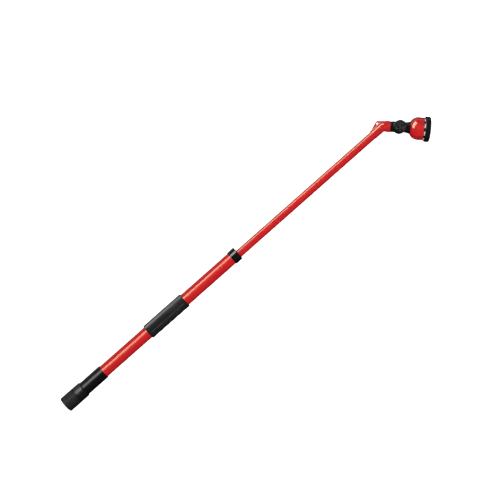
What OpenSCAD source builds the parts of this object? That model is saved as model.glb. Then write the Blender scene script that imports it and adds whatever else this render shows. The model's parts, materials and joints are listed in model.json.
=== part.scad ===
// Telescoping garden watering wand with a pivoting nine-pattern head.
//
// Millimetres. The origin is the centre of the hose coupling's open end.
// +X runs along the wand to the head, the head bends towards -Y, +Z is the face of the pivot hub.

/* [Hose coupling] */
// Length of the swivel nut
nut_len = 34.8; // [28:0.1:45]
// Outside diameter of the swivel nut
nut_d = 36.8; // [32:0.1:44]
// Crest diameter of the female hose thread
thread_d = 24.6; // [24.4:0.1:24.8]
// Depth of the hose thread
thread_len = 12.6; // [9:0.1:15]
// Number of finger grooves around the nut
nut_grooves = 30; // [12:1:40]

/* [Shut-off valve] */
// Outside diameter of the turning valve ring
valve_ring_d = 36.5; // [32:0.1:42]
// End of the valve ring, from the origin
valve_end = 55.6; // [50:0.1:65]
// Turn from open to shut, in degrees
valve_turn = 90; // [60:1:100]
// Bore of the waterway through the valve
waterway_d = 13; // [9:0.5:15]

/* [Handle and tubes] */
// End of the handle sleeve, from the origin
sleeve_end = 113; // [90:1:160]
// Outside diameter of the handle sleeve
sleeve_d = 32.1; // [31:0.1:36]
// Outside diameter of the outer tube
outer_d = 28.6; // [25:0.1:32]
// Wall of the outer tube
outer_wall = 1.2; // [0.8:0.1:2]
// End of the outer tube, from the origin
outer_end = 495; // [400:1:600]
// Start of the soft grip, from the origin
grip_start = 245; // [150:1:300]
// Length of the soft grip
grip_len = 108.6; // [80:0.1:160]
// Outside diameter of the soft grip
grip_d = 34.5; // [32:0.1:40]
// Outside diameter of the inner tube
inner_d = 18.3; // [16:0.1:20]
// Wall of the inner tube
inner_wall = 1; // [0.8:0.1:1.5]
// Sideways offset of the inner tube's axis
inner_y = -2.8; // [-3:0.1:0]
// Travel of the inner tube
travel = 388; // [300:1:390]

/* [Lock collar] */
// Outside diameter of the lock collar
collar_d = 32.3; // [31:0.1:36]
// Length of the lock collar
collar_len = 18.5; // [15:0.5:25]
// Offset of the collar's cam bore
cam_offset = 0.7; // [0.3:0.1:1]

/* [Elbow and pivot] */
// Where the two axes of the elbow meet, from the origin
elbow_x = 939.8; // [900:0.1:1000]
// Bend of the elbow, in degrees
bend = 41.5; // [20:0.5:60]
// Outside diameter of the elbow's socket
socket_d = 19.8; // [19:0.1:24]
// Outside diameter of the elbow's outlet
outlet_d = 25; // [22:0.1:30]
// Length of the outlet after the bend
outlet_len = 15.8; // [12:0.1:30]
// Diameter of the hanging hole
hang_d = 4.4; // [3:0.1:8]
// Distance from the bend to the pivot
hub_reach = 37.4; // [34:0.1:50]
// Sideways offset of the pivot
hub_y = -1; // [-2:0.1:2]
// Diameter of the pivot hub
hub_d = 29.2; // [26:0.1:36]
// Tilt of the head against the outlet, in degrees
head_tilt = 5; // [-60:1:65]
// Travel of the pivot's release button
press = 1.8; // [1:0.1:2]

/* [Head] */
// Largest radius of the bell
bell_r = 25.4; // [22:0.1:30]
// Front of the bell, from the pivot
bell_front = 52; // [46:0.1:60]
// Largest radius of the dial's lip
lip_r = 28.2; // [26:0.1:34]
// Front of the dial, from the pivot
dial_front = 67.3; // [60:0.1:75]
// Number of spray patterns
patterns = 9; // [5:1:10]
// Radius of the circle of ports
port_circle = 14; // [12:0.5:16]

/* [Hidden] */
$fn = 96;
run_gap = 0.05;        // a shaft in its hole
move_gap = 0.3;        // pieces that pass each other
nut_r = nut_d / 2;
thread_r = thread_d / 2;
water_r = waterway_d / 2;
ring_r = valve_ring_d / 2;
outer_r = outer_d / 2;
outer_bore = outer_r - outer_wall;
inner_r = inner_d / 2;
inner_bore = inner_r - inner_wall;
sleeve_r = sleeve_d / 2;
grip_r = grip_d / 2;
collar_r = collar_d / 2;
hub_r = hub_d / 2;
step = 360 / patterns;

flange_x = thread_len + 3;           // the spigot's flange, behind the washer
web_x = flange_x + 3.2;              // the nut's inner web
hub_x = web_x + 3.5;                 // the spigot's hub, behind the web
neck_r = 10;                         // the swivel's bearing
disc_x = 41;                         // the turning valve disc
seat_x = 45.2;                       // the fixed valve disc
chamber_r = 11.2;
barrel_r = 13.6;                     // the valve body under the ring
ring_bore = barrel_r + move_gap;
lug_w = 6;
body_end = 70;                       // the valve body's plug in the tube
seal_xs = [38.4, 52.4];              // the two seals under the ring

tail_x = 461;                        // the piston at the inner tube's tail
tail_len = 18.3;
tube_start = 470;
tube_end = 930;
bush_x = 480;
collar_x = outer_end - 2;
collar_end = collar_x + collar_len;
shoe_x = 499.5;
shoe_len = 7;
shoe_w = 8;
cam_r = 13.9;
nose_r = 12.8;
bush_bore = inner_r + 0.08;

socket_x = 911;                      // the elbow's socket starts here
web_top = outlet_d / 2 - 0.3;        // the web's top edge, from the outlet's axis
ear_in = 8.3;                        // inner faces of the clevis ears
ear_out = 12;
foot_out = 13.2;                     // the lower ear, which carries the waterway
rim_out = 15;
drum_h = 8;                          // half the height of the pivot drum
drum_r = 13.8;
cone_r = 9.3;                        // the clutch cone at its wide end
cone_z = 8.1;
duct_z = -3.2;                       // the waterway through the neck
duct_r = 5;
stub_r = 6.4;

neck_end = 22.6;
core_x = 25;
flange_r = 13.6;                     // the flow core's flange, inside the bell
plate_x0 = 44;
plate_x1 = 47.5;
dial_back = 50.3;
band_x = 52.5;
band_r = 24.5;
lip_x = 55.2;
face_x = 63.6;
face_t = 2.8;
face_r = 24.4;
rim_r = 25.8;                        // the dial's wall, inside its rim
rim_hook = 0.8;                      // how far the rim reaches over the wall's front
spindle_r = 3;
spindle_end = 62.1;

red = "#c8242a";
black = "#1d1d1e";
soft_black = "#2a2b2b";
grey = "#474848";
seal_black = "#151515";
steel = "#b8babc";
bone = "#d9d5c8";

// ---------------------------------------------------------------- helpers

// A 2D outline in Y and Z, drawn out along X
module along(x0, x1) translate([x0, 0, 0]) rotate([90, 0, 90]) linear_extrude(x1 - x0) children();

// A 2D profile of radius and place, turned about X
module spun() rotate([90, 0, 90]) rotate_extrude() children();

// A round rod along X
module rod(r, x0, x1) translate([x0, 0, 0]) rotate([90, 0, 90]) cylinder(r = r, h = x1 - x0);

// A cone along X
module cone(r0, r1, x0, x1)
    translate([x0, 0, 0]) rotate([90, 0, 90]) cylinder(r1 = r0, r2 = r1, h = x1 - x0);

// A round tube along X
module tube(r_out, r_in, x0, x1) difference() {
    rod(r_out, x0, x1);
    rod(r_in, x0 - 1, x1 + 1);
}

// A round seal about X
module seal(r_mid, wire, x) translate([x, 0, 0]) spun() translate([r_mid, 0]) circle(wire, $fn = 32);

// A flat ring along Z
module washer_z(r_out, r_in, z0, z1) translate([0, 0, z0]) difference() {
    cylinder(r = r_out, h = z1 - z0);
    translate([0, 0, -1]) cylinder(r = r_in, h = z1 - z0 + 2);
}

// A wedge of a disc in 2D, from angle a0 to a1
module wedge(r, a0, a1) polygon(concat([[0, 0]],
    [for (i = [0:6]) let (a = a0 + (a1 - a0) * i / 6) r * [cos(a), sin(a)]]));

// A bead with rounded corners in 2D, from radius 0 to r and from x0 to x1
module rounded_band(r, x0, x1, back, front) {
    translate([0, x0 + back]) square([r, x1 - x0 - back - front]);
    translate([0, x0]) square([r - back, back + 0.01]);
    translate([0, x1 - front - 0.01]) square([r - front, front + 0.01]);
    translate([r - back, x0 + back]) circle(back, $fn = 48);
    translate([r - front, x1 - front]) circle(front, $fn = 48);
}

// A coil spring along Z of round wire
module coil(r, wire, height, turns) {
    sides = 6;
    per_turn = 24;
    steps = turns * per_turn;
    points = [for (i = [0:steps], j = [0:sides - 1])
        let (a = 360 * i / per_turn, b = 360 * j / sides, q = r + wire * cos(b))
        [q * cos(a), q * sin(a), wire + (height - 2 * wire) * i / steps + wire * sin(b)]];
    walls = [for (i = [0:steps - 1], j = [0:sides - 1])
        let (k = (j + 1) % sides)
        [i * sides + j, i * sides + k, (i + 1) * sides + k, (i + 1) * sides + j]];
    ends = [[for (j = [sides - 1:-1:0]) j], [for (j = [0:sides - 1]) steps * sides + j]];
    polyhedron([for (p = points) p], concat(walls, ends));
}

module at_bend() translate([elbow_x, inner_y, 0]) rotate([0, 0, -bend]) children();
module at_hub() at_bend() translate([hub_reach, hub_y, 0]) children();
module at_head() at_hub() rotate([0, 0, -head_tilt]) children();

// ---------------------------------------------------------------- hose coupling

module swivel_nut() color(soft_black) difference() {
    spun() polygon([[0, 0], [nut_r - 1.2, 0], [nut_r, 1.4], [nut_r, nut_len - 0.9],
        [nut_r - 0.9, nut_len], [0, nut_len]]);
    rod(thread_r, -1, thread_len + 1);
    rod(thread_r + 0.6, thread_len, web_x);
    rod(neck_r + run_gap, web_x - 1, hub_x);
    rod(chamber_r + 3.4, web_x + 3.2, nut_len + 1);
    for (i = [0:nut_grooves - 1])
        rotate([i * 360 / nut_grooves, 0, 0]) translate([3.5, -0.55, nut_r - 0.45]) cube([27, 1.1, 2]);
}

module hose_washer() color(seal_black) tube(thread_r + 0.3, water_r + 0.3, thread_len + 0.1, flange_x - 0.6);

module inlet_screen() color(steel) difference() {
    rod(thread_r - 0.6, flange_x - 0.6, flange_x);
    for (ring = [0:3], i = [0:max(0, ring * 6 - 1)])
        rotate([i * 60 / max(1, ring), 0, 0]) translate([0, ring * 1.75, 0]) rod(0.6, flange_x - 2, flange_x + 1);
}

module inlet_spigot() color(black) difference() {
    union() {
        rod(thread_r - 0.2, flange_x, flange_x + 2.9);
        rod(neck_r, flange_x + 1, hub_x + 1);
        rod(14.2, hub_x, 34.9);
        rod(chamber_r - 0.02, 34, disc_x - 0.4);
    }
    rod(water_r, 0, disc_x);
    rod(9, disc_x - 2.6, disc_x);
    difference() {
        rod(chamber_r + 1, 35.6, 37.4);
        rod(9.9, 35, 38);
    }
}

module spigot_oring() color(seal_black) seal(10.55, 0.65, 36.5);

// ---------------------------------------------------------------- shut-off valve

// Two opposite ports through a valve disc
module disc_ports() for (a = [50, 230]) difference() {
    wedge(20, a, a + 80);
    circle(3.2);
}

module valve_body() color(black) difference() {
    union() {
        rod(barrel_r, 35, valve_end + 1);
        rod(outer_r + 1.3, valve_end + 0.3, valve_end + 2.3);
        rod(outer_bore, valve_end + 1, body_end);
    }
    rod(chamber_r, 34, seat_x + 5);
    rod(water_r + 1, seat_x, body_end + 1);
    cone(water_r + 1, outer_bore - 1.5, body_end - 6, body_end + 0.01);
    for (x = seal_xs) difference() {
        rod(barrel_r + 1, x - 0.8, x + 0.8);
        rod(barrel_r - 1.15, x - 2, x + 2);
    }
    for (a = [0, 180]) intersection() {
        rod(barrel_r + 2, disc_x - 0.1, seat_x - 0.1);
        along(disc_x - 2, seat_x + 2) wedge(30, a - 19, a + valve_turn + 19);
    }
    for (z = [-1, 1]) scale([1, 1, z]) translate([64, 0, 9]) cylinder(r = 1.25, h = 10, $fn = 32);
    difference() {
        rod(outer_bore + 1, 60.2, 61.8);
        rod(outer_bore - 1.26, 60, 62);
    }
}

module valve_disc() color(bone) difference() {
    union() {
        rod(chamber_r - move_gap, disc_x, seat_x - run_gap);
        for (y = [-1, 1]) translate([disc_x + 0.4, y * 11.7 - 3.7, -lug_w / 2]) cube([3.3, 7.4, lug_w]);
    }
    intersection() {
        rod(9, disc_x - 1, seat_x + 1);
        along(disc_x - 1, seat_x + 1) disc_ports();
    }
}

module valve_seat() color(bone) difference() {
    rod(chamber_r, seat_x, seat_x + 4);
    intersection() {
        rod(9, seat_x - 1, seat_x + 5);
        along(seat_x - 1, seat_x + 5) disc_ports();
    }
}

module seat_gasket() color(seal_black) tube(chamber_r, water_r + 1.2, seat_x + 4, seat_x + 5);

module valve_orings() color(seal_black) for (x = seal_xs) seal(ring_bore - 0.72, 0.7, x);

module valve_ring() color(black) difference() {
    spun() polygon([[0, nut_len + 0.4], [ring_r - 0.9, nut_len + 0.4], [ring_r, nut_len + 1.3],
        [ring_r, valve_end - 2.6], [ring_r - 1.9, valve_end], [0, valve_end]]);
    rod(ring_bore, 30, valve_end + 1);
    for (y = [-1, 1]) translate([30, y * 13.3 - 2.4, -lug_w / 2 - 0.05]) cube([15, 4.8, lug_w + 0.1]);
}

module tube_oring() color(seal_black) seal(outer_bore - 0.62, 0.6, 61);

// ---------------------------------------------------------------- handle

module handle_pins() color(steel) for (z = [-1, 1])
    scale([1, 1, z]) translate([64, 0, 9]) cylinder(r = 1.25, h = outer_r - 9.1, $fn = 32);

module handle_sleeve() color(black) difference() {
    spun() polygon([[0, valve_end + 0.3], [sleeve_r, valve_end + 0.3], [sleeve_r, sleeve_end - 1.2],
        [sleeve_r - 1, sleeve_end], [0, sleeve_end]]);
    rod(outer_r, 50, sleeve_end + 1);
    rod(outer_r + 1.3, 50, valve_end + 2.3);
}

module outer_tube() color(red) difference() {
    tube(outer_r, outer_bore, valve_end + 2.3, outer_end);
    translate([64, 0, -20]) cylinder(r = 1.25, h = 40, $fn = 32);
}

module grip() color(soft_black) difference() {
    spun() rounded_band(grip_r, grip_start, grip_start + grip_len, 2, 2);
    rod(outer_r, grip_start - 1, grip_start + grip_len + 1);
    for (i = [0:23]) rotate([i * 15, 0, 0])
        translate([0, 0, grip_r + 0.75]) rod(1.2, grip_start + 6, grip_start + grip_len - 6);
}

// ---------------------------------------------------------------- lock collar

module guide_bush() color(black) difference() {
    union() {
        rod(outer_bore, bush_x, outer_end + 1);
        rod(outer_r + 0.5, outer_end, outer_end + 2);
        rod(nose_r, outer_end, collar_end - 0.4);
    }
    translate([0, inner_y, 0]) rod(bush_bore, bush_x - 1, collar_end + 1);
    translate([shoe_x - 0.2, 2, -shoe_w / 2 - 0.1]) cube([shoe_len + 0.4, 20, shoe_w + 0.2]);
}

module brake_shoe() color(grey) along(shoe_x, shoe_x + shoe_len) difference() {
    intersection() {
        translate([2.1, 0]) circle(11);
        translate([4, -shoe_w / 2]) square([20, shoe_w]);
    }
    translate([inner_y, 0]) circle(inner_r + 0.05);
}

module lock_collar() color(black) difference() {
    spun() rounded_band(collar_r, collar_x, collar_end, 1.5, 1.5);
    rod(outer_r + 0.08, 400, outer_end);
    rod(outer_r + 0.9, outer_end - 0.3, outer_end + 2.3);
    translate([0, -cam_offset, 0]) rod(cam_r, outer_end + 2.2, collar_end - 3.3);
    rod(nose_r + move_gap, outer_end, collar_end + 1);
}

// ---------------------------------------------------------------- telescoping tube

module tail_piston() color(black) difference() {
    rod(outer_bore - 0.15, tail_x, tail_x + tail_len);
    translate([0, inner_y, 0]) rod(7, tail_x - 1, tail_x + tail_len);
    translate([0, inner_y, 0]) rod(inner_r, tube_start, tail_x + tail_len + 1);
    for (x = [tail_x + 2.4, tail_x + 6.2]) difference() {
        rod(outer_bore + 1, x - 1, x + 1);
        rod(outer_bore - 1.9, x - 2, x + 2);
    }
}

module piston_orings() color(seal_black)
    for (x = [tail_x + 2.4, tail_x + 6.2]) seal(outer_bore - 0.92, 0.9, x);

module inner_tube() color(red) translate([0, inner_y, 0]) tube(inner_r, inner_bore, tube_start, tube_end);

// ---------------------------------------------------------------- elbow

// The web at the outside of the bend, with its top edge in line with the outlet
module elbow_web() at_bend() linear_extrude(4.4, center = true) difference() {
    union() {
        polygon([[-27.9, -11.5], [-15.1, web_top - 1.1], [-13.6, web_top],
            [outlet_len - 1, web_top], [outlet_len - 1, 0], [0, 0]]);
        translate([-13.6, web_top - 1.6]) circle(1.6);
    }
    translate([-12.5, 6.3]) circle(hang_d / 2);
}

module elbow() color(red) difference() {
    union() {
        translate([0, inner_y, 0]) {
            rod(socket_d / 2, socket_x, elbow_x);
            translate([elbow_x, 0, 0]) sphere(socket_d / 2 + 0.6);
        }
        at_bend() {
            cone(socket_d / 2 + 0.5, outlet_d / 2, -1, 4);
            rod(outlet_d / 2, 4, outlet_len);
        }
        elbow_web();
    }
    translate([0, inner_y, 0]) {
        rod(inner_r, socket_x - 1, tube_end);
        rod(inner_bore, tube_end - 1, elbow_x);
        tube(inner_r + 1, inner_r - 1, tube_end - 4, tube_end - 2.4);
        translate([elbow_x, 0, 0]) sphere(inner_bore + 0.4);
    }
    at_bend() {
        rod(inner_bore, 0, outlet_len);
        rod(9, 4, outlet_len + 1);
    }
}

module socket_oring() color(seal_black) translate([0, inner_y, 0]) seal(inner_r + 0.5, 0.48, tube_end - 3.2);

// ---------------------------------------------------------------- pivot

// One ear of the clevis with its arm, from z0 to z1
module ear(z0, z1) {
    translate([0, 0, z0]) cylinder(r = hub_r, h = z1 - z0);
    intersection() {
        translate([-20.6, -10.8, z0]) cube([20.6, 21.8, z1 - z0]);
        rod(14.6, -hub_reach, 0);
    }
}

module clevis() color(black) difference() {
    at_bend() union() {
        rod(9, 4.2, outlet_len + 1);
        rod(11.3, outlet_len, 27);
        translate([hub_reach, hub_y, 0]) {
            ear(ear_in, ear_out);
            mirror([0, 0, 1]) ear(ear_in, foot_out);
            intersection() {
                translate([-20.6, -10.8, -foot_out]) cube([6, 21.8, foot_out + ear_out]);
                rod(14.6, -hub_reach, 0);
            }
            washer_z(hub_r, 12.7, ear_out - 1, rim_out);
            washer_z(hub_r, 12.7, -rim_out, 1 - foot_out);
        }
    }
    at_bend() {
        rod(6, 0, 22);
        difference() {
            rod(10, 8, 9.6);
            rod(7.8, 7, 11);
        }
    }
    at_hub() {
        translate([0, 0, -ear_in]) cylinder(r = 14.9, h = 2 * ear_in);
        translate([0, 0, cone_z]) cylinder(r1 = cone_r + 0.1, r2 = cone_r - 2.3, h = 2.4);
        cylinder(r = 4.1, h = 20);
        translate([0, 0, -9.9]) cylinder(r = stub_r + run_gap, h = 9.9);
        translate([-19.4, -5.5, -12.2]) cube([19.4, 11, 2.3]);
        translate([0, 0, -12.2]) cylinder(r = 5.5, h = 2.3);
        translate([-19.4, -4, -12]) cube([3, 8, 12]);
    }
}

module clevis_oring() color(seal_black) at_bend() seal(8.4, 0.58, 8.8);

module pivot_button() color(grey) at_hub() difference() {
    union() {
        rotate_extrude() polygon([[0, 14], [12.1, 14], [12.4, 14.3], [12.4, 15.3], [11.6, 16], [0, 16.2]]);
        translate([0, 0, 10.55]) cylinder(r = 3.9, h = 4);
    }
    washer_z(9.2, 6.8, 13, 15.2);
    for (ring = [1:3]) washer_z(3.1 * ring + 0.5, 3.1 * ring - 0.1, 15.9, 17);
}

module button_spring() color(steel) at_hub() translate([0, 0, ear_out + 0.03]) coil(8, 0.24, 3.1, 2);

// Six splines around a disc in 2D
module splines(r, tip, w) {
    circle(r);
    for (a = [0:60:300]) rotate(a) translate([0, -w / 2]) square([tip, w]);
}

module brake_cone() color(bone) at_head() {
    translate([0, 0, 4.2]) linear_extrude(3.7) splines(cone_r - 0.2, 10.5, 3);
    translate([0, 0, 7.8]) cylinder(r = cone_r - 0.2, h = cone_z - 7.8);
    translate([0, 0, cone_z]) cylinder(r1 = cone_r, r2 = cone_r - 2.2, h = 2.2);
}

module cone_spring() color(steel) at_head() translate([0, 0, 1.23]) coil(6, 0.22, 2.94, 2);

module hub_plate() color(grey) at_hub() difference() {
    translate([0, 0, -rim_out + 0.2]) cylinder(r = 12.6, h = rim_out - 0.2 - foot_out);
    for (ring = [1:3]) washer_z(3.1 * ring + 0.5, 3.1 * ring - 0.1, -16, -rim_out + 0.5);
}

// ---------------------------------------------------------------- head

module nozzle_neck() color(black) at_head() difference() {
    union() {
        translate([0, 0, -drum_h]) cylinder(r = drum_r, h = 2 * drum_h);
        difference() {
            spun() polygon([[0, 0], [11.35, 0], [11.35, 11], [11.9, 15.5], [13.9, neck_end], [0, neck_end]]);
            for (z = [-1, 1]) scale([1, 1, z]) translate([0, 0, drum_h]) cylinder(r = hub_r + 0.4, h = 20);
        }
        rod(12.6, neck_end - 1, core_x);
        translate([0, 0, -9.8]) cylinder(r = stub_r, h = 3);
    }
    translate([0, 0, 1.2]) linear_extrude(20) splines(cone_r + 0.1, 10.7, 3.2);
    translate([0, 0, -5.6]) cylinder(r = 9, h = 5.6);
    translate([0, 0, -20]) cylinder(r = duct_r, h = 18);
    translate([0, 0, duct_z]) rod(duct_r, 0, core_x + 1);
    washer_z(8.7, 6.9, -10, -6.7);
    for (a = [90, 210, 330]) rotate([a - 90, 0, 0]) translate([0, 0, 10]) rod(1.2, 18.9, core_x + 1);
}

module pivot_oring() color(seal_black) at_head() translate([0, 0, -7.53]) rotate_extrude()
    translate([7.8, 0]) circle(0.75, $fn = 32);

// The bell's outline in 2D, out to r and from its back to its front
module bell_outline(r, arc_r) {
    intersection() {
        translate([r - arc_r, 41]) circle(arc_r);
        translate([0, neck_end]) square([40, 41 - neck_end]);
    }
    polygon([[0, 40.9], [r, 40.9], [r, 43.5], [r - 0.4, bell_front], [0, bell_front]]);
}

module bell() color(red) at_head() difference() {
    spun() bell_outline(bell_r, 20.46);
    difference() {
        spun() bell_outline(bell_r - 2.2, 18.26);
        rod(40, 0, core_x);
    }
    rod(23.2, 45, 60);
    rod(12.7, 0, core_x + 1);
}

module flow_core() color(bone) at_head() difference() {
    union() {
        rod(flange_r, core_x, core_x + 2.5);
        translate([core_x, -6.2, -17.6]) cube([plate_x0 - core_x + 1, 12.4, 19.8]);
        rod(22.9, plate_x0, plate_x1);
        rod(6, plate_x0 - 4, plate_x1 + 1);
        rod(spindle_r, plate_x1, spindle_end);
        translate([0, 0, 19]) rod(3, plate_x0 - 4, plate_x1 + 1.9);
    }
    difference() {
        rod(40, core_x - 1, 36);
        rod(flange_r, core_x - 2, core_x + 2.6);
        spun() bell_outline(bell_r - 2.6, 17.86);
    }
    translate([core_x + 3.5, -4.8, -16]) cube([plate_x0 - core_x - 5.5, 9.6, 16.6]);
    translate([0, 0, duct_z]) rod(duct_r, core_x - 1, core_x + 4);
    translate([0, 0, -port_circle]) rod(3.6, plate_x0 - 4, 60);
    translate([0, 0, -port_circle]) rod(5.3, 45.2, 60);
    translate([0, 0, 19]) rod(1.7, 41, 60);
    rod(1.3, 49, 70);
    for (a = [90, 210, 330]) rotate([a - 90, 0, 0]) translate([0, 0, 10]) rod(1.3, core_x - 1, 34);
    translate([core_x, 0, duct_z]) difference() {
        rod(6.9, -1, 1);
        rod(5.5, -2, 2);
    }
}

module core_oring() color(seal_black) at_head() translate([0, 0, duct_z]) seal(6.2, 0.49, core_x + 0.5);

module core_screws() color(steel) at_head() for (a = [90, 210, 330])
    rotate([a - 90, 0, 0]) translate([0, 0, 10]) {
        rod(1.2, 19, core_x + 3);
        rod(2.1, core_x + 2.5, core_x + 4.3);
    }

module port_seal() color(seal_black) at_head() translate([0, 0, -port_circle])
    tube(5.2, 3.4, 46.7, dial_back - run_gap);

module seal_spring() color(steel) at_head() translate([45.22, 0, -port_circle])
    rotate([90, 0, 90]) coil(4.5, 0.2, 1.45, 2);

module detent_ball() color(steel) at_head() translate([dial_back - run_gap - 1.6, 0, 19]) sphere(1.6);

module detent_spring() color(steel) at_head() translate([41.02, 0, 19])
    rotate([90, 0, 90]) coil(1.3, 0.2, 5.9, 5);

module dial_screw() color(steel) at_head() difference() {
    union() {
        rod(1.3, 49.2, 63);
        rod(3.3, 62.9, 65);
    }
    for (a = [0, 90]) rotate([a, 0, 0]) translate([64, -2, -0.35]) cube([2, 4, 0.7]);
}

module screw_washer() color(steel) at_head() tube(4.3, 1.32, spindle_end, 62.9);

// ---------------------------------------------------------------- spray dial

module dial_body() color(black) at_head() difference() {
    spun() union() {
        translate([0, dial_back]) square([22.7, band_x - dial_back + 0.1]);
        translate([0, band_x]) square([band_r, lip_x - band_x + 0.1]);
        translate([0, lip_x]) square([rim_r, dial_front - rim_hook - lip_x]);
    }
    difference() {
        rod(22.4, band_x, face_x + 1);
        rod(6.4, 50, 62);
        for (i = [0:patterns - 1]) rotate([(i + 0.5) * step, 0, 0])
            translate([50, -0.6, -24]) cube([face_x - 50, 1.2, 24]);
    }
    rod(7.2, 62, face_x + 1);
    rod(face_r + 0.05, face_x, 80);
    rod(spindle_r + run_gap, 50, 63);
    for (i = [0:patterns - 1]) rotate([i * step, 0, 0]) {
        translate([0, 0, -port_circle]) rod(3.2, 50, 53);
        translate([dial_back - 1.1, 0, 19]) sphere(1.8);
    }
}

module dial_rim() color(black) at_head() difference() {
    spun() rounded_band(lip_r, lip_x, dial_front, 1.6, 3.4);
    rod(rim_r, lip_x - 1, dial_front - rim_hook);
    rod(face_r + 0.3, lip_x, dial_front + 1);
}

// A hole through the face plate, r from the axis and turned a from the pattern's own centre line
module spray(hole_r, r, a) rotate([a, 0, 0]) translate([0, 0, -r]) rod(hole_r, face_x - 1, face_x + 5);

// A ring of n holes about the middle of a pattern
module spray_ring(hole_r, ring_r, n) for (i = [0:n - 1])
    translate([0, ring_r * cos(i * 360 / n), ring_r * sin(i * 360 / n)]) spray(hole_r, 15, 0);

module face_patterns() {
    spray(1.9, 15, 0);
    rotate([step, 0, 0]) for (r = [10:3:19], a = [-10, 0, 10]) spray(0.6, r, a);
    rotate([2 * step, 0, 0]) spray_ring(0.6, 3, 10);
    rotate([3 * step, 0, 0]) translate([face_x - 1, -5, -15.7]) cube([5, 10, 1.4]);
    rotate([4 * step, 0, 0]) for (a = [-12, 0, 12]) spray(0.5, 15, a);
    rotate([5 * step, 0, 0]) spray_ring(1.1, 3.2, 5);
    rotate([6 * step, 0, 0]) {
        spray(0.9, 15, 0);
        spray_ring(0.9, 3.4, 6);
    }
    rotate([7 * step, 0, 0]) for (r = [12, 15, 18], a = [-8, 8]) spray(0.75, r, a);
    rotate([8 * step, 0, 0]) for (t = [-1, 1])
        translate([0, t * 2.6, -15]) rotate([t * 25, 0, 0]) translate([face_x - 1, -0.6, -3]) cube([5, 1.2, 6]);
}

module face_plate() color(soft_black) at_head() difference() {
    rod(face_r, face_x, face_x + face_t);
    rod(4.4, face_x - 1, face_x + 5);
    face_patterns();
    for (i = [0:patterns - 1]) rotate([i * step, 0, 0])
        translate([0, 0, -22.2]) rod(0.9, face_x + face_t - 0.6, face_x + face_t + 1);
}

module index_pads() color("#b9bab8") at_head() for (i = [0:patterns - 1])
    rotate([i * step, 0, 0]) along(band_x + 0.35, lip_x - 0.15) difference() {
        intersection() {
            circle(band_r + 0.5);
            wedge(30, 68.5, 90.5);
        }
        circle(band_r);
    }

module screw_cap() color(grey) at_head() {
    spun() polygon([[0, face_x + face_t], [5.6, face_x + face_t], [5.6, dial_front - 0.2],
        [4.9, dial_front + 0.4], [0, dial_front + 0.4]]);
    tube(4.35, 3.7, face_x + face_t - 1.2, face_x + face_t + 0.1);
}

// ---------------------------------------------------------------- nodes

swivel_nut();
hose_washer();
inlet_screen();
inlet_spigot();
spigot_oring();
valve_body();
valve_disc();
valve_seat();
seat_gasket();
valve_orings();
valve_ring();
tube_oring();
handle_pins();
handle_sleeve();
outer_tube();
grip();
guide_bush();
brake_shoe();
lock_collar();
tail_piston();
piston_orings();
inner_tube();
elbow();
socket_oring();
clevis();
clevis_oring();
pivot_button();
button_spring();
brake_cone();
cone_spring();
hub_plate();
nozzle_neck();
pivot_oring();
bell();
flow_core();
core_oring();
core_screws();
port_seal();
seal_spring();
detent_ball();
detent_spring();
dial_screw();
screw_washer();
dial_body();
dial_rim();
face_plate();
index_pads();
screw_cap();
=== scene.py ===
"""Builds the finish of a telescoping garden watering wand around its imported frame.

Lengths are in millimetres until add_piece writes them in metres. The axes are the frame's own: +X runs
along the wand, the head bends towards -Y, and +Z is the face of the pivot hub.
"""

import json
import math

import bpy
import numpy as np
from bpy.props import FloatProperty, FloatVectorProperty, IntProperty, PointerProperty
from mathutils import Matrix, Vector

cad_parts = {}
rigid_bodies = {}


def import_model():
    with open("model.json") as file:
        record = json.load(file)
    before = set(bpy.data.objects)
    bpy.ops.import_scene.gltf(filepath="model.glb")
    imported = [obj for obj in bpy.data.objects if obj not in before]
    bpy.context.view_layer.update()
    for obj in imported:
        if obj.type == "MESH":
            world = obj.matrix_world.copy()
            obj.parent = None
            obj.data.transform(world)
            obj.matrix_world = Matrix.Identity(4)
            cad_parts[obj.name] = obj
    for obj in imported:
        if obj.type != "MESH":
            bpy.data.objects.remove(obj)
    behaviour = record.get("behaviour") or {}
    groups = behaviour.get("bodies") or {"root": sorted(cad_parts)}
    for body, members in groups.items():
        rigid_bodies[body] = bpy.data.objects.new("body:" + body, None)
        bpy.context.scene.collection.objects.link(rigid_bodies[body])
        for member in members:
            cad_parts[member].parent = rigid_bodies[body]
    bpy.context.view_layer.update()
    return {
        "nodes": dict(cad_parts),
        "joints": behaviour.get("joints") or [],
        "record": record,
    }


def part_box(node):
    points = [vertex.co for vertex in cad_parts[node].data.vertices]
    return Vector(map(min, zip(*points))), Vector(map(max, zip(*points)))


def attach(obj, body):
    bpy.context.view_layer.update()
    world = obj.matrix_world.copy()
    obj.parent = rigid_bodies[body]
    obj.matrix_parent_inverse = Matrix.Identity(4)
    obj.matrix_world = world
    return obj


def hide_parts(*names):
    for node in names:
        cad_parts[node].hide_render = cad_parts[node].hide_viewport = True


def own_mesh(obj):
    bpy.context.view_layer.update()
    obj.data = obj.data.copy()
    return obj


bl_info = {
    "name": "Watering Wand",
    "version": (1, 0, 0),
    "blender": (4, 5, 0),
    "location": "View3D > Sidebar > Wand",
    "description": "Builds the visible pieces of a telescoping watering wand",
    "category": "Add Mesh",
}

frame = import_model()
MM = 0.001


# ---------------------------------------------------------------- places, from the frame

def corners(node):
    """Lowest and highest corner of a node."""
    low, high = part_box(node)
    return np.array(low) / MM, np.array(high) / MM


def joint(name):
    """The frame's record of a joint."""
    return next(j for j in frame["joints"] if j["name"] == name)


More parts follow.
